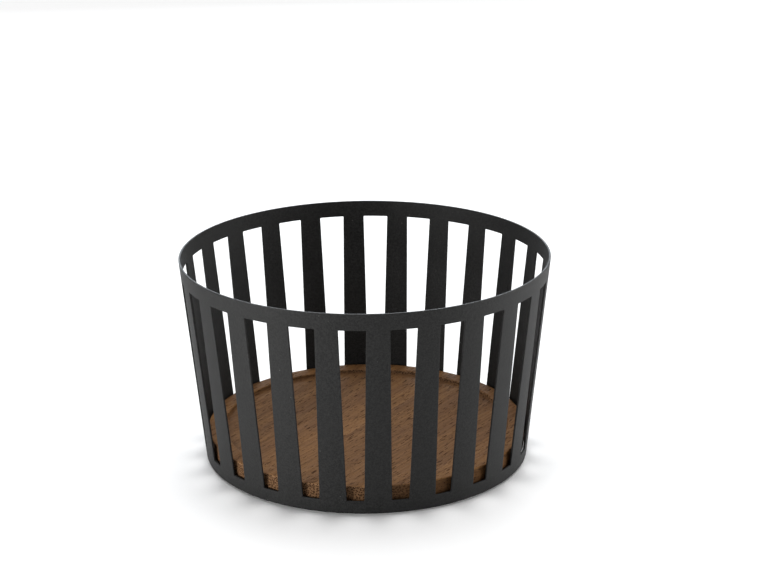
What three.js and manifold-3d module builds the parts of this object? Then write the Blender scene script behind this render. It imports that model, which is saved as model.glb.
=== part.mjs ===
// A round bread basket: a tapered ring of slotted sheet steel, a loose wooden base plate that drops
// in from above, four steel tabs that carry the plate, and four rubber feet under the tabs.
// Millimetres, +Z up. The origin is the centre of the footprint, on the surface that the feet stand on.
import * as THREE from "three";
import { mergeVertices, toCreasedNormals } from "three/addons/utils/BufferGeometryUtils.js";
import Module from "manifold-3d";

// Shell: sheet steel rolled to a cone, open at both ends.
const RIM_DIAMETER = 230; // outside, at the top edge
const BASE_DIAMETER = 205; // outside, at the bottom edge
const SHELL_HEIGHT = 130; // from edge to edge
const SHEET = 1.2; // thickness of the steel

// Slots: one row of tapered slots all round, with a slat at each end of the X and Y axes.
// Their sizes are those of the flat sheet.
const SLOT_COUNT = 24;
const SLOT_TOP_WIDTH = 16;
const SLOT_BOTTOM_WIDTH = 10.5;
const SLOT_CORNER = 0.4; // corner radius
const RIM_BAND = 10.5; // plain sheet above the slots
const BASE_BAND = 8.4; // plain sheet below the slots

// Base plate: a turned wooden disc with a raised lip round a shallow tray.
const PLATE_THICKNESS = 12;
const PLATE_CLEARANCE = 1.2; // to the shell, all round, where the shell is closest
const LIP_WIDTH = 10.3;
const TRAY_DEPTH = 2.4;
const PLATE_EDGE = 0.8; // radius of the plate's outer edges

// Tabs: folded steel brackets welded inside the shell's bottom edge.
const TAB_COUNT = 4;
const TAB_SHEET = 1.5;
const TAB_BEND = 1; // inner radius of the fold
const TAB_CORNER = 3; // corner radius of the free end
const TAB_SEAT = 5; // height of the face that carries the plate, above the shell's bottom edge
const TAB_RECESS = 0.5; // from the shell's bottom edge up to the tab's lower edge
const WELD_GAP = 0.3; // between tab and shell

// Feet: rubber pads, one under each tab.
const FOOT_DIAMETER = 10;
const FOOT_EDGE = 0.8; // radius of the edge that meets the table
const FOOT_PROUD = 1; // how far the feet reach below the shell
const FOOT_END_MARGIN = 1.2; // of tab, before and behind the foot
const FOOT_SIDE_MARGIN = 3; // of tab, on each side of the foot

// Facets, all round and in each small arc.
const STEPS_PER_SLOT = 6;
const PLATE_STEPS = 96;
const FOOT_STEPS = 24;
const ARC_STEPS = 3;
const CUT_MARGIN = 3; // how far a cutting solid reaches past what it cuts

// Sizes that follow from those above.
const baseRadius = BASE_DIAMETER / 2;
const rimRadius = RIM_DIAMETER / 2;
const taper = Math.atan2(rimRadius - baseRadius, SHELL_HEIGHT);
const slantHeight = SHELL_HEIGHT / Math.cos(taper);
const wall = SHEET / Math.cos(taper); // thickness of the shell along a level line
const shellSteps = SLOT_COUNT * STEPS_PER_SLOT;
const shellOverPlate = Math.min(innerRadius(TAB_SEAT), innerRadius(TAB_SEAT + PLATE_THICKNESS));
const plateRadius = shellOverPlate - PLATE_CLEARANCE;
const trayEdge = Math.min(PLATE_EDGE, TRAY_DEPTH / 4); // radius along the lip's inner edge
const trayCove = TRAY_DEPTH * 0.7; // radius where the lip's inner wall meets the tray's floor
const tabReach = TAB_SHEET + FOOT_DIAMETER + 2 * FOOT_END_MARGIN;
const tabWidth = FOOT_DIAMETER + 2 * FOOT_SIDE_MARGIN;
const tabOuterRadius = innerRadius(TAB_SEAT) - WELD_GAP;
const footAxisRadius = tabOuterRadius - tabReach + FOOT_END_MARGIN + FOOT_DIAMETER / 2;
const footHeight = TAB_SEAT - TAB_SHEET + FOOT_PROUD;

const wasm = await Module();
wasm.setup();

const powderCoat = new THREE.MeshStandardMaterial({ color: 0x2f2f2e, roughness: 0.6, metalness: 0.1 });
const acacia = new THREE.MeshStandardMaterial({ color: 0x6b4a30, roughness: 0.65, metalness: 0 });
const rubber = new THREE.MeshStandardMaterial({ color: 0x1c1c1c, roughness: 0.85, metalness: 0 });

// Radius of the shell's inner face at a height above its bottom edge.
function innerRadius(height) {
  return baseRadius + height * Math.tan(taper) - wall;
}

// The points of a closed outline through [x, y, corner radius] corners, with an arc at each round one.
function outlinePoints(corners) {
  const corner = (i) => new THREE.Vector2(...corners.at(i % corners.length));
  return corners.flatMap(([x, y, radius = 0], i) => {
    const here = new THREE.Vector2(x, y);
    if (radius === 0) return [here];
    const arriving = here.clone().sub(corner(i - 1)).normalize();
    const leaving = corner(i + 1).sub(here).normalize();
    const turn = Math.atan2(arriving.cross(leaving), arriving.dot(leaving));
    const start = here.addScaledVector(arriving, -radius * Math.tan(Math.abs(turn) / 2));
    const side = Math.sign(turn) * radius;
    const centre = start.clone().add(new THREE.Vector2(-arriving.y, arriving.x).multiplyScalar(side));
    return Array.from({ length: ARC_STEPS + 1 }, (_, k) =>
      start.clone().rotateAround(centre, (turn * k) / ARC_STEPS),
    );
  });
}

// A profile of [radius, height, corner radius] corners turned about the Z axis.
function turned(corners, steps) {
  const points = outlinePoints(corners);
  return new THREE.LatheGeometry([...points, points[0]], steps).rotateX(Math.PI / 2);
}

// An outline of [x, y, corner radius] corners raised along Z.
function raised(corners, height) {
  const outline = new THREE.Shape(outlinePoints(corners));
  return new THREE.ExtrudeGeometry(outline, { depth: height, bevelEnabled: false });
}

// A closed geometry as a solid that can be cut and joined.
function solidOf(geometry) {
  const bare = geometry.clone();
  bare.deleteAttribute("normal");
  bare.deleteAttribute("uv");
  const merged = mergeVertices(bare);
  const vertProperties = merged.attributes.position.array;
  return new wasm.Manifold(
    new wasm.Mesh({ numProp: 3, vertProperties, triVerts: new Uint32Array(merged.index.array) }),
  );
}

// A cut or joined solid as a geometry again.
function geometryOf(solid) {
  const mesh = solid.getMesh();
  const geometry = new THREE.BufferGeometry();
  geometry.setAttribute("position", new THREE.BufferAttribute(mesh.vertProperties, 3));
  geometry.setIndex(new THREE.BufferAttribute(mesh.triVerts, 1));
  return toCreasedNormals(geometry);
}

function named(name, geometry, material) {
  const mesh = new THREE.Mesh(geometry, material);
  mesh.name = name;
  return mesh;
}

// The solid that cuts one slot, square to the sheet, through the wall at +X.
// Its outline has y measured up the slope from the shell's bottom edge.
function slotCutter() {
  const bottom = BASE_BAND;
  const top = slantHeight - RIM_BAND;
  const outline = [
    [-SLOT_BOTTOM_WIDTH / 2, bottom, SLOT_CORNER],
    [SLOT_BOTTOM_WIDTH / 2, bottom, SLOT_CORNER],
    [SLOT_TOP_WIDTH / 2, top, SLOT_CORNER],
    [-SLOT_TOP_WIDTH / 2, top, SLOT_CORNER],
  ];
  const tangent = new THREE.Vector3(0, 1, 0);
  const upSlope = new THREE.Vector3(Math.sin(taper), 0, Math.cos(taper));
  const outward = new THREE.Vector3(Math.cos(taper), 0, -Math.sin(taper));
  const depth = SHEET + 2 * CUT_MARGIN;
  const inside = new THREE.Vector3(baseRadius, 0, 0).addScaledVector(outward, CUT_MARGIN - depth);
  const place = new THREE.Matrix4().makeBasis(tangent, upSlope, outward).setPosition(inside);
  return raised(outline, depth).applyMatrix4(place);
}

// The shell: a turned conical wall with a ring of slots cut through it.
function makeShell() {
  const wallGeometry = turned(
    [
      [baseRadius - wall, 0],
      [baseRadius, 0],
      [rimRadius, SHELL_HEIGHT],
      [rimRadius - wall, SHELL_HEIGHT],
    ],
    shellSteps,
  );
  const cutter = slotCutter();
  const pitch = (2 * Math.PI) / SLOT_COUNT;
  let shell = solidOf(wallGeometry);
  for (let i = 0; i < SLOT_COUNT; i++) {
    shell = shell.subtract(solidOf(cutter.clone().rotateZ((i + 0.5) * pitch)));
  }
  return geometryOf(shell);
}

// The base plate, with its underside at height 0.
function makePlate() {
  const tray = PLATE_THICKNESS - TRAY_DEPTH;
  const trayRadius = plateRadius - LIP_WIDTH;
  return turned(
    [
      [0, 0],
      [plateRadius, 0, PLATE_EDGE],
      [plateRadius, PLATE_THICKNESS, PLATE_EDGE],
      [trayRadius, PLATE_THICKNESS, trayEdge],
      [trayRadius, tray, trayCove],
      [0, tray],
    ],
    PLATE_STEPS,
  );
}

// One tab, at +X: a strip folded down at its outer end, with its seat at height TAB_SEAT.
// The outer face follows the shell, WELD_GAP away from it.
function makeTab() {
  const inner = tabOuterRadius - tabReach;
  const outer = tabOuterRadius + CUT_MARGIN;
  const foldInside = tabOuterRadius - TAB_SHEET;
  const underside = TAB_SEAT - TAB_SHEET;
  const side = [
    [inner, underside],
    [foldInside, underside, TAB_BEND],
    [foldInside, TAB_RECESS],
    [outer, TAB_RECESS],
    [outer, TAB_SEAT],
    [inner, TAB_SEAT],
  ];
  const strip = raised(side, tabWidth).translate(0, 0, -tabWidth / 2).rotateX(Math.PI / 2);
  const plan = [
    [inner, -tabWidth / 2, TAB_CORNER],
    [outer, -tabWidth / 2],
    [outer, tabWidth / 2],
    [inner, tabWidth / 2, TAB_CORNER],
  ];
  const insideShell = turned(
    [
      [0, 0],
      [innerRadius(0) - WELD_GAP, 0],
      [innerRadius(TAB_SEAT) - WELD_GAP, TAB_SEAT],
      [0, TAB_SEAT],
    ],
    shellSteps,
  );
  const folded = solidOf(strip).intersect(solidOf(raised(plan, TAB_SEAT)));
  return geometryOf(folded.intersect(solidOf(insideShell)));
}

// One foot, with its lower face at height 0.
function makeFoot() {
  const radius = FOOT_DIAMETER / 2;
  return turned(
    [
      [0, 0],
      [radius, 0, FOOT_EDGE],
      [radius, footHeight],
      [0, footHeight],
    ],
    FOOT_STEPS,
  );
}

const basket = new THREE.Group();
const shell = new THREE.Group();
shell.position.z = FOOT_PROUD;
shell.add(named("basket_shell", makeShell(), powderCoat));
basket.add(shell);

const plate = named("base_plate", makePlate(), acacia);
plate.position.z = TAB_SEAT;
shell.add(plate);

const tabGeometry = makeTab();
const footGeometry = makeFoot();
for (let i = 0; i < TAB_COUNT; i++) {
  const station = new THREE.Group();
  station.rotation.z = ((i + 0.5) * 2 * Math.PI) / TAB_COUNT;
  station.add(named(`support_tab_${i + 1}`, tabGeometry, powderCoat));
  const foot = named(`foot_pad_${i + 1}`, footGeometry, rubber);
  foot.position.set(footAxisRadius, 0, -FOOT_PROUD);
  station.add(foot);
  shell.add(station);
}

export default basket;
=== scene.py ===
"""The looks of a round bread basket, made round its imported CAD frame: a powder-coated ring of slotted
sheet steel, a loose acacia base plate, four welded support tabs and four rubber feet.
Metres, +Z up. The origin is the centre of the footprint, on the surface that the feet stand on."""
import math

import bmesh
import bpy
import numpy as np
from mathutils import Matrix, Vector, noise


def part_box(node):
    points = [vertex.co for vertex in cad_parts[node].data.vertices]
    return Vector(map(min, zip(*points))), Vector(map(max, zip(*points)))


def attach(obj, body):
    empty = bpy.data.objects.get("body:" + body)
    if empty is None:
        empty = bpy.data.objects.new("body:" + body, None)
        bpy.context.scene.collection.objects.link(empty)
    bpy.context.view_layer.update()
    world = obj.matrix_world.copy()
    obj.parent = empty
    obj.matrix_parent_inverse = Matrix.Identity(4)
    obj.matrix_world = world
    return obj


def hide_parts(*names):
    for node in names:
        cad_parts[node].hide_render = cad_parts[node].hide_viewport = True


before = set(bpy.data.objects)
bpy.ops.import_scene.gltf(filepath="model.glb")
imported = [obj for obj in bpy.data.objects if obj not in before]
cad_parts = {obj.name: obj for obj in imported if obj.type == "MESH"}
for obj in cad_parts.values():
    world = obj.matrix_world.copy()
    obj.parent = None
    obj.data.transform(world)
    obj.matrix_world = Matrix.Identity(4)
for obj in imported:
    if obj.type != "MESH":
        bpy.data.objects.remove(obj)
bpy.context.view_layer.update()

MM = 0.001

# Shell. Its radii and height come from the frame, and the rest are the flat sheet's own sizes.
SHEET = 1.2 * MM
CUT_EDGE = 0.3 * MM  # radius that the coating gives each cut edge
SLOT_COUNT = 24
SLOT_TOP_WIDTH = 16 * MM
SLOT_BOTTOM_WIDTH = 10.5 * MM
SLOT_CORNER = 0.4 * MM
RIM_BAND = 10.5 * MM
BASE_BAND = 8.4 * MM
SEAM_ANGLE = math.radians(105)  # where the rolled sheet's ends are welded, in the middle of a slat
SEAM_REACH = 0.1  # radians to each side that the seam's lift is worked out for
SEAM_HALF_WIDTH = 1.1 * MM
SEAM_HEIGHT = 0.07 * MM
SEAM_RIPPLE = 0.2  # share of the seam's height that comes and goes along it
SEAM_RIPPLE_LENGTH = 3 * MM

# Powder coat. Scales are per metre, and colours are linear.
COAT_DARK = (0.0012, 0.0012, 0.0012)
COAT_MIDDLE = (0.0070, 0.0070, 0.0068)
COAT_LIGHT = (0.0155, 0.0155, 0.0150)
COAT_GLINT = (0.080, 0.079, 0.076)  # of the painted glints: the few light specks where the coat catches the light
COAT_CELL = 5.5 * MM  # there is one painted glint in some of the cells of this size
COAT_EMPTY_CELLS = 0.8  # share of the cells that have no painted glint
COAT_PEBBLE_SCALE = 1500
COAT_COARSE_SCALE = 700
COAT_DRIFT_SCALE = 24
COAT_PEBBLE_SHARE = 0.65  # of the pebble in the skin, and the coarse noise has the rest
COAT_RELIEF = 0.00035
COAT_SPECULAR = 0.27
COAT_ROUGHNESS = (0.56, 0.72)
RIM_WEAR = 0.28  # how much hands have taken off the roughness of the rim's top edge
RIM_WEAR_STARTS = 0.5 * MM  # below the rim's top
RIM_WEAR_FULL = 0.1 * MM

# Base plate. Its radius and thickness come from the frame.
LIP_WIDTH = 10.3 * MM
TRAY_DEPTH = 2.4 * MM
TRAY_EDGE = TRAY_DEPTH / 4  # radius along the lip's inner edge
TRAY_COVE = TRAY_DEPTH * 0.7  # radius where the lip's inner wall meets the tray's floor
PLATE_EDGE = 0.8 * MM

# Wood. Scales are per metre, along X, Y and Z of timber whose grain runs along Y.
STAVE_WIDTH = 38 * MM  # of the boards that the plate is glued up from
RING_WIDTH = 3.2 * MM
GRAIN_TURN = math.radians(38)  # the grain runs from the front left to the back right
WOOD_LIGHT = (0.172, 0.084, 0.030)
WOOD_MIDDLE = (0.105, 0.049, 0.019)
WOOD_DARK = (0.051, 0.023, 0.0095)
WOOD_PORE = (0.013, 0.006, 0.003)
END_GRAIN = (0.272, 0.152, 0.078)
WAVER_SCALE = (14, 5, 14)
WAVER_REACH = 0.012  # how far the grain wanders sideways, in metres
STAVE_OFFSET = 3.0  # metres of timber that the staves are picked from
PITH_DEPTH = 0.045  # of the growth rings' centre below the origin, in metres
PITH_SIDE = 0.05  # how far to either side it may lie
PITH_SLOPE = 0.12  # how fast it climbs along the grain
FIGURE_SCALE = (62, 3.0, 62)
STREAK_SCALE = (520, 14, 520)
FIBRE_SCALE = (2300, 90, 2300)
PORE_SCALE = (1200, 150, 1200)
FINE_PORE_SCALE = (2100, 380, 2100)
CUT_PORE_SCALE = (880, 880, 0)  # of the pores in the end grain, across the grain and up
TRAY_SHADE_REACH = 7 * MM  # how far painted shade darkens the tray's floor inwards from its wall
WOOD_RELIEF = 0.00018
WOOD_SPECULAR = 0.06
WOOD_ROUGHNESS = (0.52, 0.66)

# Tabs and feet. Their places come from the frame.
TAB_COUNT = 4
TAB_SHEET = 1.5 * MM
TAB_WIDTH = 16 * MM
TAB_REACH = 13.9 * MM
TAB_BEND = 1 * MM
TAB_CORNER = 3 * MM
TAB_EDGE = 0.2 * MM
TAB_COLUMNS = 13
WELD_GAP = 0.3 * MM
WELD_RADIUS = 0.75 * MM
WELD_STEPS, WELD_AROUND = 22, 12
WELD_RIPPLE = 0.10
WELD_RIPPLES = 4.5  # along one bead
WELD_UNEVEN = 0.08
WELD_PROUD = 0.75  # the bead's height off the metal, as a share of its half width
WELD_SUNK = 0.35
FOOT_STEPS, FOOT_ARC_STEPS = 48, 4
FOOT_DIMPLE = 0.35 * MM  # depth, and width of its slope
FOOT_DIMPLE_SHARE = 0.4  # of the foot's radius
FOOT_WAIST = 0.05 * MM
RUBBER_DARK = (0.014, 0.014, 0.014)
RUBBER_BLOOM = (0.027, 0.027, 0.027)
RUBBER_SCALE = 900
RUBBER_RELIEF = 0.00005

# Camera.
CAMERA_AZIMUTH = math.radians(-3.66)
CAMERA_ELEVATION = math.radians(20.67)
CAMERA_ROLL = math.radians(-0.61)
CAMERA_DISTANCE = 1.193
CAMERA_LENS = 88.1
CAMERA_SHIFT = (0.0264, 0.0788)

# Studio. Every area light faces the basket's lower middle.
WHITE = (1, 1, 1)
COOL_WHITE = (0.86, 0.93, 1.0)
WORLD_STRENGTH = 0.08
SUN_TOWARDS = (0.05, 0.3, 1)
SUN_STRENGTH = 3.0
SUN_SPREAD = math.radians(55)
LIGHT_AIM = (0, 0, 0.06)
AREA_LIGHTS = (  # name, place, size, power, colour
    ("back_light", (0, 1.35, 0.60), (1.4, 0.4), 9, COOL_WHITE),
    ("left_light", (-0.91, -0.53, 0.15), (0.34, 0.27), 9.6, WHITE),
    ("right_light", (0.99, -0.08, 0.20), (0.9, 0.36), 7.2, WHITE),
)
FLOOR_SIDE = 14
FLOOR_COLOUR = (0.95, 0.95, 0.95)
FLOOR_ROUGHNESS = 0.8


# ---------------------------------------------------------------- what the frame says

def outer_radius(node, height, slack=0.05 * MM):
    """The largest distance from the Z axis of a CAD node's corners at a height."""
    corners = [v.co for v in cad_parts[node].data.vertices if abs(v.co.z - height) < slack]
    return max(math.hypot(c.x, c.y) for c in corners)


shell_low, shell_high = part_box("basket_shell")
SHELL_FOOT = shell_low.z
SHELL_HEIGHT = shell_high.z - shell_low.z
BASE_RADIUS = outer_radius("basket_shell", shell_low.z)
RIM_RADIUS = outer_radius("basket_shell", shell_high.z)
TAPER = math.atan2(RIM_RADIUS - BASE_RADIUS, SHELL_HEIGHT)
SLANT = SHELL_HEIGHT / math.cos(TAPER)

plate_low, plate_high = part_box("base_plate")
PLATE_RADIUS = plate_high.x
PLATE_FOOT = plate_low.z
PLATE_TOP = plate_high.z
TRAY_RADIUS = PLATE_RADIUS - LIP_WIDTH


# ---------------------------------------------------------------- camera, floor and lights

def add_camera():
    camera = bpy.data.objects.new("camera", bpy.data.cameras.new("camera"))
    target = Vector((0, 0, SHELL_FOOT + SHELL_HEIGHT / 2))
    level = math.cos(CAMERA_ELEVATION)
    away = Vector((math.sin(CAMERA_AZIMUTH) * level, -math.cos(CAMERA_AZIMUTH) * level,
                   math.sin(CAMERA_ELEVATION)))
    aim = away.to_track_quat("Z", "Y").to_matrix() @ Matrix.Rotation(CAMERA_ROLL, 3, "Z")
    camera.matrix_world = Matrix.Translation(target + away * CAMERA_DISTANCE) @ aim.to_4x4()
    camera.data.lens = CAMERA_LENS
    camera.data.shift_x, camera.data.shift_y = CAMERA_SHIFT
    bpy.context.scene.collection.objects.link(camera)
    bpy.context.scene.camera = camera


def add_area_light(name, place, size, power, colour):
    light = bpy.data.lights.new(name, "AREA")
    light.shape = "RECTANGLE"
    light.size, light.size_y = size
    light.energy = power
    light.color = colour
    holder = bpy.data.objects.new(name, light)
    holder.location = place
    holder.visible_camera = False
    holder.rotation_euler = (Vector(place) - Vector(LIGHT_AIM)).to_track_quat("Z", "Y").to_euler()
    bpy.context.scene.collection.objects.link(holder)


def add_sun(name, towards, strength, spread):
    light = bpy.data.lights.new(name, "SUN")
    light.energy = strength
    light.angle = spread
    holder = bpy.data.objects.new(name, light)
    holder.rotation_euler = Vector(towards).to_track_quat("Z", "Y").to_euler()
    bpy.context.scene.collection.objects.link(holder)


def add_studio():
    world = bpy.data.worlds.new("studio")
    bpy.context.scene.world = world
    world.use_nodes = True
    background = world.node_tree.nodes["Background"]
    background.inputs["Color"].default_value = (*WHITE, 1)
    background.inputs["Strength"].default_value = WORLD_STRENGTH
    add_sun("top_light", SUN_TOWARDS, SUN_STRENGTH, SUN_SPREAD)
    for name, place, size, power, colour in AREA_LIGHTS:
        add_area_light(name, place, size, power, colour)
    bpy.ops.mesh.primitive_plane_add(size=FLOOR_SIDE)
    floor = bpy.context.object
    floor.name = "floor"
    floor.data.materials.append(floor_material())


# ---------------------------------------------------------------- materials

class Shader:
    """A material's node tree, with each node made and wired in one call."""

    def __init__(self, name):
        self.material = bpy.data.materials.new(name)
        self.material.use_nodes = True
        self.tree = self.material.node_tree
        self.surface = self.tree.nodes["Principled BSDF"]
        self.place = self.add("ShaderNodeTexCoord").outputs["Object"]

    def add(self, kind, inputs=None, **settings):
        node = self.tree.nodes.new(kind)
        for key, value in settings.items():
            setattr(node, key, value)
        for key, value in (inputs or {}).items():
            self.feed(node.inputs[key], value)
        return node

    def feed(self, socket, value):
        if isinstance(value, bpy.types.NodeSocket):
            self.tree.links.new(value, socket)
        else:
            socket.default_value = value

    def turned(self, vector, angle):
        inputs = {"Vector": vector, "Angle": angle}
        return self.add("ShaderNodeVectorRotate", inputs, rotation_type="Z_AXIS").outputs[0]

    def maths(self, operation, *values):
        return self.add("ShaderNodeMath", dict(enumerate(values)), operation=operation).outputs[0]

    def stretched(self, vector, scale):
        return self.add("ShaderNodeVectorMath", {0: vector, 1: scale}, operation="MULTIPLY").outputs[0]

    def noise(self, vector, scale=1.0, detail=2.0, roughness=0.5):
        inputs = {"Vector": vector, "Scale": scale, "Detail": detail, "Roughness": roughness}
        return self.add("ShaderNodeTexNoise", inputs).outputs["Fac"]

    def ramp(self, value, low, high, out_low=0.0, out_high=1.0, smooth=True):
        inputs = {"Value": value, "From Min": low, "From Max": high,
                  "To Min": out_low, "To Max": out_high}
        kind = "SMOOTHSTEP" if smooth else "LINEAR"
        return self.add("ShaderNodeMapRange", inputs, interpolation_type=kind).outputs[0]

    def blend(self, share, first, second, kind="MIX"):
        node = self.add("ShaderNodeMix", data_type="RGBA", blend_type=kind)
        self.feed(node.inputs[0], share)
        for socket, value in ((node.inputs[6], first), (node.inputs[7], second)):
            self.feed(socket, value if isinstance(value, bpy.types.NodeSocket) else (*value, 1))
        return node.outputs[2]

    def bump(self, height, distance, strength, under=None):
        inputs = {"Height": height, "Distance": distance, "Strength": strength}
        if under is not None:
            inputs["Normal"] = under
        return self.add("ShaderNodeBump", inputs).outputs[0]

    def pores(self, grain, scale, widest, early):
        """Where the timber's vessels are cut open: one in each cell, of its own width."""
        cells = self.add("ShaderNodeTexVoronoi", {"Vector": self.stretched(grain, scale), "Scale": 1.0})
        kept = self.add("ShaderNodeSeparateColor", {0: cells.outputs["Color"]}).outputs[0]
        width = self.ramp(self.maths("ADD", kept, early), 0.10, 1.0, 0.0, widest, smooth=False)
        return self.ramp(self.maths("SUBTRACT", width, cells.outputs["Distance"]), 0.0, 0.09)

    def finish(self, **sockets):
        for key, value in sockets.items():
            value = (*value, 1) if isinstance(value, tuple) and len(value) == 3 else value
            self.feed(self.surface.inputs[key.replace("_", " ").title().replace("Ior", "IOR")], value)
        return self.material


def floor_material():
    shader = Shader("pale_floor")
    return shader.finish(base_color=FLOOR_COLOUR, roughness=FLOOR_ROUGHNESS)


def powder_coat_material():
    """Matt black fine-texture powder coat: a tight pebbled skin, a faint drift in tone, a few specks of
    painted glint, and a rim edge that hands have smoothed."""
    shader = Shader("powder_coat")
    pebble = shader.noise(shader.place, COAT_PEBBLE_SCALE, 2, 0.6)
    coarse = shader.noise(shader.place, COAT_COARSE_SCALE, 2, 0.5)
    drift = shader.noise(shader.place, COAT_DRIFT_SCALE, 2, 0.5)
    grain = shader.maths("ADD", shader.maths("MULTIPLY", pebble, COAT_PEBBLE_SHARE),
                         shader.maths("MULTIPLY", coarse, 1 - COAT_PEBBLE_SHARE))
    tone = shader.blend(shader.ramp(grain, 0.39, 0.61), COAT_DARK, COAT_LIGHT)
    tone = shader.blend(shader.ramp(drift, 0.3, 0.7, 0, 0.25), tone, COAT_MIDDLE)
    # Painted glints: a few tiny light specks in the coat's colour, one in some of the cells.
    cells = shader.add("ShaderNodeTexVoronoi", {"Vector": shader.place, "Scale": 1 / COAT_CELL})
    kept = shader.add("ShaderNodeSeparateColor", {0: cells.outputs["Color"]}).outputs[0]
    glint_specks = shader.maths("MULTIPLY", shader.ramp(cells.outputs["Distance"], 0.035, 0.065, 1, 0),
                         shader.maths("GREATER_THAN", kept, COAT_EMPTY_CELLS))
    height = shader.add("ShaderNodeSeparateXYZ", {0: shader.place}).outputs[2]
    rim_top = SHELL_FOOT + SHELL_HEIGHT
    handled = shader.ramp(height, rim_top - RIM_WEAR_STARTS, rim_top - RIM_WEAR_FULL, 0, RIM_WEAR)
    rough = shader.ramp(grain, 0.3, 0.7, *COAT_ROUGHNESS)
    return shader.finish(
        base_color=shader.blend(glint_specks, tone, COAT_GLINT),
        specular_ior_level=COAT_SPECULAR,
        roughness=shader.maths("SUBTRACT", rough, handled),
        normal=shader.bump(grain, COAT_RELIEF, 0.8),
    )


def wood_material():
    """Oiled acacia: brown heartwood glued up from staves, with long dark pores and soft growth rings."""
    shader = Shader("wood")
    place = shader.turned(shader.place, GRAIN_TURN)
    x, y, z = shader.add("ShaderNodeSeparateXYZ", {0: place}).outputs
    stave = shader.maths("DIVIDE", x, STAVE_WIDTH)
    number = shader.maths("FLOOR", stave)
    chance = shader.add("ShaderNodeTexWhiteNoise", {"W": number}, noise_dimensions="1D")
    pick = shader.add("ShaderNodeSeparateColor", {0: chance.outputs["Color"]}).outputs

    # Each stave has its own stretch of timber, and its grain wavers a little.
    waver = shader.maths("SUBTRACT", shader.noise(shader.stretched(place, WAVER_SCALE), 1, 2), 0.5)
    across = shader.maths("ADD", x, shader.maths("MULTIPLY", waver, WAVER_REACH))
    along = shader.maths("ADD", y, shader.maths("MULTIPLY", pick[0], STAVE_OFFSET))
    grain = shader.add("ShaderNodeCombineXYZ", {0: across, 1: along, 2: z}).outputs[0]

    # Growth rings round a pith that lies below the board and climbs slowly along it.
    pith_place = shader.ramp(pick[1], 0, 1, -PITH_SIDE, PITH_SIDE, smooth=False)
    pith_side = shader.maths("SUBTRACT", across, pith_place)
    climb = shader.maths("MULTIPLY", y, PITH_SLOPE)
    pith_depth = shader.maths("SUBTRACT", z, shader.maths("ADD", climb, -PITH_DEPTH))
    spread = shader.add("ShaderNodeCombineXYZ", {0: pith_side, 1: pith_depth}).outputs[0]
    reach = shader.add("ShaderNodeVectorMath", {0: spread}, operation="LENGTH").outputs["Value"]
    ring = shader.maths("FRACT", shader.maths("DIVIDE", reach, RING_WIDTH))
    late_wood = shader.ramp(ring, 0.45, 1.0)

    figure = shader.noise(shader.stretched(grain, FIGURE_SCALE), 1, 3, 0.55)
    streak = shader.noise(shader.stretched(grain, STREAK_SCALE), 1, 3, 0.6)
    fibre = shader.noise(shader.stretched(grain, FIBRE_SCALE), 1, 2, 0.6)

    # How far a face looks along the grain.
    normal = shader.turned(shader.add("ShaderNodeTexCoord").outputs["Normal"], GRAIN_TURN)
    facing = shader.add("ShaderNodeSeparateXYZ", {0: normal}).outputs[1]
    end_grain = shader.ramp(shader.maths("ABSOLUTE", facing), 0.35, 0.95)

    # Pores: dark vessels, as dashes along the grain and dots across it, wider in the early wood.
    early = shader.maths("MULTIPLY", late_wood, -0.25)
    pore = shader.pores(grain, PORE_SCALE, 0.50, early)
    fine_pore = shader.pores(grain, FINE_PORE_SCALE, 0.46, early)
    pore = shader.maths("MAXIMUM", pore, shader.maths("MULTIPLY", fine_pore, 0.6))
    section = shader.add("ShaderNodeCombineXYZ", {0: across, 1: z}).outputs[0]
    section = shader.stretched(section, CUT_PORE_SCALE)
    tubes = shader.add("ShaderNodeTexVoronoi", {"Vector": section, "Scale": 1.0},
                       voronoi_dimensions="2D")
    cut_pore = shader.ramp(tubes.outputs["Distance"], 0.30, 0.44, 1, 0)
    pore = shader.ramp(end_grain, 0, 1, pore, cut_pore)

    colour = shader.blend(shader.ramp(figure, 0.3, 0.7), WOOD_MIDDLE, WOOD_LIGHT)
    colour = shader.blend(shader.ramp(streak, 0.38, 0.75, 0, 0.60), colour, WOOD_DARK)
    colour = shader.blend(shader.maths("MULTIPLY", late_wood, 0.28), colour, WOOD_DARK)
    colour = shader.blend(shader.ramp(fibre, 0.35, 0.7, 0, 0.40), colour, WOOD_LIGHT)
    shade = shader.ramp(pick[2], 0, 1, 0.90, 1.10, smooth=False)
    tint = shader.add("ShaderNodeCombineColor", {0: shade, 1: shade, 2: shade}).outputs[0]
    colour = shader.blend(1.0, colour, tint, "MULTIPLY")
    glue = shader.maths("ABSOLUTE", shader.maths("SUBTRACT", shader.maths("FRACT", stave), 0.5))
    colour = shader.blend(shader.ramp(glue, 0.496, 0.4995, 0, 0.45), colour, WOOD_PORE)

    # The end grain is paler between its pores, and painted shade darkens the corner round the tray.
    colour = shader.blend(shader.maths("MULTIPLY", end_grain, 0.85), colour, END_GRAIN)
    colour = shader.blend(shader.maths("MULTIPLY", pore, 0.88), colour, WOOD_PORE)
    level = shader.stretched(place, (1, 1, 0))
    from_axis = shader.add("ShaderNodeVectorMath", {0: level}, operation="LENGTH").outputs["Value"]
    near_wall = shader.ramp(from_axis, TRAY_RADIUS - TRAY_SHADE_REACH, TRAY_RADIUS)
    below_lip = shader.ramp(z, PLATE_TOP - 0.2 * TRAY_DEPTH, PLATE_TOP - 0.4 * TRAY_DEPTH)
    # Painted shade: the tray's floor darkens towards the lip's wall, where the lip shades it.
    corner = shader.maths("MULTIPLY", near_wall, below_lip)
    colour = shader.blend(shader.maths("MULTIPLY", corner, 0.5), colour, WOOD_DARK)

    relief = shader.maths("SUBTRACT", shader.maths("MULTIPLY", fibre, 0.35), pore)
    rough = shader.ramp(streak, 0.2, 0.8, *WOOD_ROUGHNESS)
    return shader.finish(
        base_color=colour,
        specular_ior_level=WOOD_SPECULAR,
        roughness=shader.maths("ADD", rough, shader.maths("MULTIPLY", pore, 0.25)),
        normal=shader.bump(relief, WOOD_RELIEF, 0.6),
    )


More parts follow.
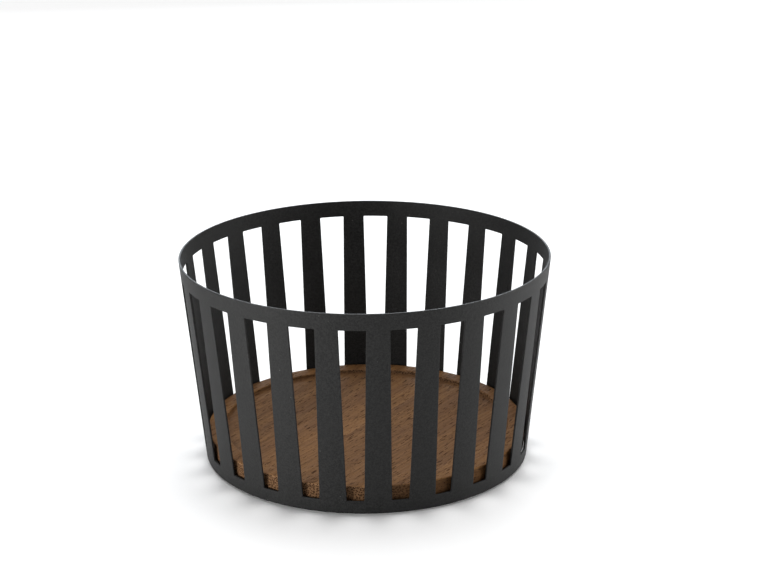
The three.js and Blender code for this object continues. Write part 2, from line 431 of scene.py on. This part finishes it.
def rubber_material():
    shader = Shader("rubber")
    bloom = shader.noise(shader.place, RUBBER_SCALE, 3, 0.6)
    return shader.finish(
        base_color=shader.blend(shader.ramp(bloom, 0.35, 0.7), RUBBER_DARK, RUBBER_BLOOM),
        roughness=shader.ramp(bloom, 0.3, 0.7, 0.7, 0.85),
        normal=shader.bump(bloom, RUBBER_RELIEF, 0.4),
    )


# ---------------------------------------------------------------- mesh helpers

def make_piece(name, points, faces, material, slot, body, *nodes):
    """A smooth closed mesh as a piece that rides on a body and stands for some CAD nodes."""
    mesh = bpy.data.meshes.new(name)
    mesh.from_pydata([tuple(p) for p in points], [], [tuple(f) for f in faces])
    work = bmesh.new()
    work.from_mesh(mesh)
    bmesh.ops.remove_doubles(work, verts=work.verts, dist=0.002 * MM)
    bmesh.ops.recalc_face_normals(work, faces=work.faces)
    for face in work.faces:
        face.smooth = True
    work.to_mesh(mesh)
    work.free()
    mesh.materials.append(material)
    piece = bpy.data.objects.new(name, mesh)
    bpy.context.scene.collection.objects.link(piece)
    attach(piece, body)
    if nodes:
        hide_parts(*nodes)
    return piece


def grid_faces(rows, columns, closed):
    """Quads of a grid of points, listed row by row. A closed one joins its last column to its first."""
    wide = columns if closed else columns - 1
    return [(r * columns + c, r * columns + (c + 1) % columns,
             (r + 1) * columns + (c + 1) % columns, (r + 1) * columns + c)
            for r in range(rows - 1) for c in range(wide)]


def rounded(corners, steps):
    """Points of an open outline through (x, y, radius) corners, with an arc at each round one."""
    points = []
    for i, (x, y, radius) in enumerate(corners):
        here = Vector((x, y))
        if radius == 0:
            points.append(here)
            continue
        arriving = (here - Vector(corners[i - 1][:2])).normalized()
        leaving = (Vector(corners[i + 1][:2]) - here).normalized()
        turn = math.atan2(arriving.cross(leaving), arriving.dot(leaving))
        start = here - arriving * radius * math.tan(abs(turn) / 2)
        side = math.copysign(radius, turn)
        centre = start + Vector((-arriving.y, arriving.x)) * side
        for k in range(steps + 1):
            spoke = start - centre
            spoke.rotate(Matrix.Rotation(turn * k / steps, 2))
            points.append(centre + spoke)
    return points


# ---------------------------------------------------------------- shell

SECTOR_HALF = math.pi / SLOT_COUNT
ACROSS_STEPS = 8
ALONG_STEPS = 14
CORNER_STEPS = 4
RING_SHARES = (1.0, 0.93, 0.85, 0.65, 0.42, 0.2, 0.07, 0.0)  # from the slat's middle to the slot's edge
EDGE_STEPS = 3
SHEET_TOP = SLANT - SHEET * math.tan(TAPER)  # up the sheet, where its cut top edge is level


def face_radius(slope, depth):
    """The wall's radius, up the sheet by slope from its base edge and inwards by depth from its face."""
    return BASE_RADIUS + slope * math.sin(TAPER) - depth * math.cos(TAPER)


def wall_point(angle, slope, depth):
    radius = face_radius(slope, depth)
    height = SHELL_FOOT + slope * math.cos(TAPER) + depth * math.sin(TAPER)
    return radius * math.cos(angle), radius * math.sin(angle), height


def edge_profile():
    """(inset, depth) round a cut edge of the sheet, from its outer face to its inner face."""
    turns = np.linspace(0, math.pi / 2, EDGE_STEPS + 1)
    outer = [(CUT_EDGE * (1 - math.sin(a)), CUT_EDGE * (1 - math.cos(a))) for a in turns]
    return outer + [(inset, SHEET - depth) for inset, depth in reversed(outer)]


def slot_columns():
    """The slot's outline on the flat sheet: for each point (x, slope), its normal into the sheet, and
    the point (angle, slope) that it faces on the border of the slot's sector."""
    low, high = BASE_BAND, SLANT - RIM_BAND
    corners = [Vector(c) for c in ((-SLOT_BOTTOM_WIDTH / 2, low), (SLOT_BOTTOM_WIDTH / 2, low),
                                   (SLOT_TOP_WIDTH / 2, high), (-SLOT_TOP_WIDTH / 2, high))]
    borders = [Vector(c) for c in ((-SECTOR_HALF, 0), (SECTOR_HALF, 0),
                                   (SECTOR_HALF, SHEET_TOP), (-SECTOR_HALF, SHEET_TOP))]
    arcs = []
    for i, (corner, border) in enumerate(zip(corners, borders)):
        arriving = (corner - corners[i - 1]).normalized()
        leaving = (corners[(i + 1) % 4] - corner).normalized()
        turn = math.atan2(arriving.cross(leaving), arriving.dot(leaving))
        normal = Vector((arriving.y, -arriving.x))
        centre = corner - arriving * SLOT_CORNER * math.tan(turn / 2) - normal * SLOT_CORNER
        spokes = [Matrix.Rotation(turn * k / CORNER_STEPS, 2) @ normal for k in range(CORNER_STEPS + 1)]
        points = [centre + spoke * SLOT_CORNER for spoke in spokes]
        first = facing_border(points[0], border, i - 1)
        last = facing_border(points[-1], border, i)
        half = CORNER_STEPS // 2
        facing = [first.lerp(border, k / half) if k <= half else border.lerp(last, k / half - 1)
                  for k in range(CORNER_STEPS + 1)]
        arcs.append(list(zip(points, spokes, facing)))
    columns = []
    for i, corner_arc in enumerate(arcs):
        columns += corner_arc
        steps = ALONG_STEPS if i % 2 else ACROSS_STEPS
        start, end = corner_arc[-1], arcs[(i + 1) % 4][0]
        for k in range(1, steps):
            columns.append(tuple(a.lerp(b, k / steps) for a, b in zip(start, end)))
    return columns


def facing_border(point, border, side):
    """The point of the sector's border that is level with a slot point, or straight above or below it."""
    if side % 2:
        return Vector((border.x, point.y))
    return Vector((math.asin(point.x / face_radius(point.y, 0)), border.y))


def sector_points():
    """One slot and its share of the sheet, as a grid of points: from the border of the sector over the
    outer face to the slot, through the slot's cut edge, and back over the inner face."""
    columns = slot_columns()

    def at(column, share, inset, depth):
        point, normal, border = column
        place = point + normal * inset
        angle = math.asin(place.x / face_radius(place.y, depth))
        edge = Vector((border.x, min(max(border.y, CUT_EDGE), SHEET_TOP - CUT_EDGE)))
        spot = Vector((angle, place.y)).lerp(edge, share)
        return wall_point(spot.x, spot.y, depth)

    rows = [[at(c, share, CUT_EDGE, 0) for c in columns] for share in RING_SHARES]
    rows += [[at(c, 0, inset, depth) for c in columns] for inset, depth in edge_profile()[1:-1]]
    rows += [[at(c, share, CUT_EDGE, SHEET) for c in columns] for share in reversed(RING_SHARES)]
    return rows


def rim_points(is_top):
    """The sector's stretch of the sheet's top or base edge."""
    level, sign = (SHEET_TOP, -1) if is_top else (0, 1)
    borders = [border for _, _, border in slot_columns() if abs(border.y - level) < CUT_EDGE]
    angles = sorted({round(border.x, 9) for border in borders})
    return [[wall_point(a, level + sign * inset, depth) for a in angles]
            for inset, depth in edge_profile()]


def add_sector(points, faces, rows, closed, turn):
    start = len(points)
    spin = Matrix.Rotation(turn, 3, "Z")
    points += [spin @ Vector(p) for row in rows for p in row]
    faces += [tuple(start + i for i in face) for face in grid_faces(len(rows), len(rows[0]), closed)]


def raise_seam(points):
    """Lifts the outer face a hair along the weld that closes the ring."""
    for point in points:
        angle = math.atan2(point.y, point.x)
        radius = math.hypot(point.x, point.y)
        slope = (point.z - SHELL_FOOT) / math.cos(TAPER)
        if abs(angle - SEAM_ANGLE) > SEAM_REACH or radius < face_radius(slope, SHEET / 4):
            continue
        off = (angle - SEAM_ANGLE) * radius / SEAM_HALF_WIDTH
        wave = noise.noise(Vector((0, 0, point.z / SEAM_RIPPLE_LENGTH)))
        lift = SEAM_HEIGHT * (1 - SEAM_RIPPLE + SEAM_RIPPLE * wave) * math.exp(-off * off)
        point.x *= 1 + lift / radius
        point.y *= 1 + lift / radius


def make_shell(material):
    points, faces = [], []
    wall, rim, base = sector_points(), rim_points(True), rim_points(False)
    for i in range(SLOT_COUNT):
        turn = (i + 0.5) * 2 * SECTOR_HALF
        add_sector(points, faces, wall, True, turn)
        add_sector(points, faces, rim, False, turn)
        add_sector(points, faces, base, False, turn)
    raise_seam(points)
    make_piece("slotted_shell", points, faces, material, "powder_coat", "basket", "basket_shell")


# ---------------------------------------------------------------- base plate

PLATE_STEPS = 240
PLATE_ARC_STEPS = 5
PLATE_RINGS = 9


def turned_mesh(profile, steps):
    """A profile of (radius, height) from axis to axis, turned about Z."""
    inner = profile[1:-1]
    turns = [2 * math.pi * k / steps for k in range(steps)]
    points = [Vector((r * math.cos(a), r * math.sin(a), h)) for r, h in inner for a in turns]
    faces = grid_faces(len(inner), steps, True)
    for (radius, height), row in ((profile[0], 0), (profile[-1], len(inner) - 1)):
        points.append(Vector((0, 0, height)))
        centre = len(points) - 1
        faces += [(row * steps + k, row * steps + (k + 1) % steps, centre) for k in range(steps)]
    return points, faces


def make_plate(material):
    floor = PLATE_TOP - TRAY_DEPTH
    outline = rounded([
        (TRAY_RADIUS / 2, PLATE_FOOT, 0),
        (PLATE_RADIUS, PLATE_FOOT, PLATE_EDGE),
        (PLATE_RADIUS, PLATE_TOP, PLATE_EDGE),
        (TRAY_RADIUS, PLATE_TOP, TRAY_EDGE),
        (TRAY_RADIUS, floor, TRAY_COVE),
        (TRAY_RADIUS / 2, floor, 0),
    ], PLATE_ARC_STEPS)
    under = [(TRAY_RADIUS * k / (2 * PLATE_RINGS), PLATE_FOOT) for k in range(PLATE_RINGS)]
    over = [(r, floor) for r, _ in reversed(under)]
    points, faces = turned_mesh(under + [tuple(p) for p in outline] + over, PLATE_STEPS)
    make_piece("wooden_base", points, faces, material, "wood", "plate", "base_plate")


# ---------------------------------------------------------------- tabs, welds and feet

def foot_profile(radius, top):
    """A moulded foot: flat on the tab, a little waisted, with a soft edge and a dimple underneath."""
    dimple = radius * FOOT_DIMPLE_SHARE
    outline = rounded([
        (dimple / 2, FOOT_DIMPLE, 0),
        (dimple, FOOT_DIMPLE, 0.2 * MM),
        (dimple + FOOT_DIMPLE, 0, 0.2 * MM),
        (radius - 0.25 * MM, 0, 0.7 * MM),
        (radius - FOOT_WAIST, top * 0.6, 0),
        (radius, top, 0.15 * MM),
        (radius / 2, top, 0),
    ], FOOT_ARC_STEPS)
    return [(0, FOOT_DIMPLE)] + [tuple(p) for p in outline] + [(0, top)]


def make_feet(material):
    for i in range(TAB_COUNT):
        node = f"foot_pad_{i + 1}"
        low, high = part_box(node)
        middle = (low + high) / 2
        points, faces = turned_mesh(foot_profile((high.x - low.x) / 2, high.z - low.z), FOOT_STEPS)
        points = [p + Vector((middle.x, middle.y, low.z)) for p in points]
        make_piece(f"rubber_foot_{i + 1}", points, faces, material, "rubber", "basket", node)


def tab_path(reach, seat, foot):
    """The tab's upper face from its free end over the fold and down its leg, as (place, direction)."""
    outer_bend = TAB_BEND + TAB_SHEET
    centre = Vector((reach - outer_bend, seat - outer_bend))
    ease = [TAB_CORNER * (1 - math.cos(a)) for a in np.linspace(0, math.pi / 2, 6)]
    stations = ease + [TAB_CORNER + (centre.x - TAB_CORNER) * s for s in np.linspace(0, 1, 7)[1:]]
    path = [(Vector((s, seat)), Vector((0, -1))) for s in stations]
    for a in np.linspace(0, math.pi / 2, 7)[1:]:
        spoke = Vector((math.sin(a), math.cos(a)))
        path.append((centre + spoke * outer_bend, -spoke))
    for s in np.linspace(0, 1, 4)[1:]:
        path.append((Vector((reach, centre.y - (centre.y - foot) * s)), Vector((-1, 0))))
    return path


def make_tab(index, material):
    """A folded bracket: its seat carries the plate, and its leg follows the inside of the shell."""
    node = f"support_tab_{index + 1}"
    low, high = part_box(node)
    turn = Matrix.Rotation((index + 0.5) * 2 * math.pi / TAB_COUNT, 3, "Z")
    seat, foot = high.z, low.z
    outer = face_radius((seat - SHELL_FOOT) / math.cos(TAPER), SHEET) - WELD_GAP
    path = tab_path(TAB_REACH, seat, foot)
    shares = np.linspace(-1, 1, TAB_COLUMNS)

    def at(station, share, depth):
        place, inward = station
        half = TAB_WIDTH / 2
        if place.x < TAB_CORNER and inward.y < 0:
            left = TAB_CORNER - place.x
            half += math.sqrt(max(TAB_CORNER ** 2 - left ** 2, 0)) - TAB_CORNER
        spot = place + inward * depth
        side = share * half
        follow = outer - math.sqrt(outer ** 2 - side ** 2) + (seat - spot.y) * math.tan(TAPER)
        return turn @ Vector((outer - TAB_REACH + spot.x - follow * spot.x / TAB_REACH, side, spot.y))

    rows = [[at(s, w, 0) for w in shares] for s in path]
    rows += [[at(s, w, TAB_SHEET) for w in shares] for s in reversed(path)]
    points = [p for row in rows for p in row]
    wide = len(shares)
    faces = grid_faces(len(rows), wide, False)
    last = (len(rows) - 1) * wide
    faces += [(last + c, last + c + 1, c + 1, c) for c in range(wide - 1)]
    count = len(path)
    for c in (0, wide - 1):
        faces += [tuple(r * wide + c for r in (k, k + 1, 2 * count - 2 - k, 2 * count - 1 - k))
                  for k in range(count - 1)]
    tab = make_piece(f"bracket_{index + 1}", points, faces, material, "powder_coat", "basket", node)
    soften_edges(tab, TAB_EDGE)
    return turn, outer, seat, foot


def soften_edges(piece, radius):
    """Rounds the piece's sharp edges."""
    work = bmesh.new()
    work.from_mesh(piece.data)
    sharp = [e for e in work.edges if e.calc_face_angle(0) > math.radians(50)]
    bmesh.ops.bevel(work, geom=sharp, offset=radius, segments=3, profile=0.5, affect="EDGES",
                    clamp_overlap=True)
    for face in work.faces:
        face.smooth = True
    work.to_mesh(piece.data)
    work.free()


def make_weld(index, side, turn, outer, seat, foot, material):
    """A short rippled bead that joins one upright edge of a tab's leg to the shell."""
    top = seat - (TAB_BEND + TAB_SHEET)
    across = TAB_WIDTH / 2 * side
    rows = []
    for k in range(WELD_STEPS + 1):
        t = k / WELD_STEPS
        height = foot + (top - foot) * t
        wall = face_radius((height - SHELL_FOOT) / math.cos(TAPER), SHEET)
        reach = math.sqrt(wall ** 2 - across ** 2) - WELD_GAP * 0.5
        ends = math.sqrt(max(1 - (2 * t - 1) ** 6, 0.02))
        ripple = WELD_RIPPLE * math.sin(t * 2 * WELD_RIPPLES * math.pi)
        uneven = WELD_UNEVEN * noise.noise(Vector((t * 2 * WELD_RIPPLES, index, side)))
        girth = WELD_RADIUS * ends * (1 + ripple + uneven)
        row = []
        for j in range(WELD_AROUND):
            a = 2 * math.pi * j / WELD_AROUND
            out = reach + girth * WELD_PROUD * math.cos(a) - girth * WELD_SUNK
            row.append(turn @ Vector((out, across + girth * math.sin(a), height)))
        rows.append(row)
    points = [p for row in rows for p in row]
    faces = grid_faces(WELD_STEPS + 1, WELD_AROUND, True)
    faces.append(tuple(range(WELD_AROUND)))
    faces.append(tuple(WELD_STEPS * WELD_AROUND + j for j in range(WELD_AROUND)))
    name = f"weld_bead_{index + 1}_{'left' if side < 0 else 'right'}"
    make_piece(name, points, faces, material, "powder_coat", "basket")


# ---------------------------------------------------------------- the scene

bpy.context.scene.view_settings.view_transform = "Standard"
add_camera()
add_studio()

powder_coat = powder_coat_material()
make_shell(powder_coat)
make_plate(wood_material())
for tab_index in range(TAB_COUNT):
    tab_frame = make_tab(tab_index, powder_coat)
    for tab_side in (-1, 1):
        make_weld(tab_index, tab_side, *tab_frame, powder_coat)
make_feet(rubber_material())
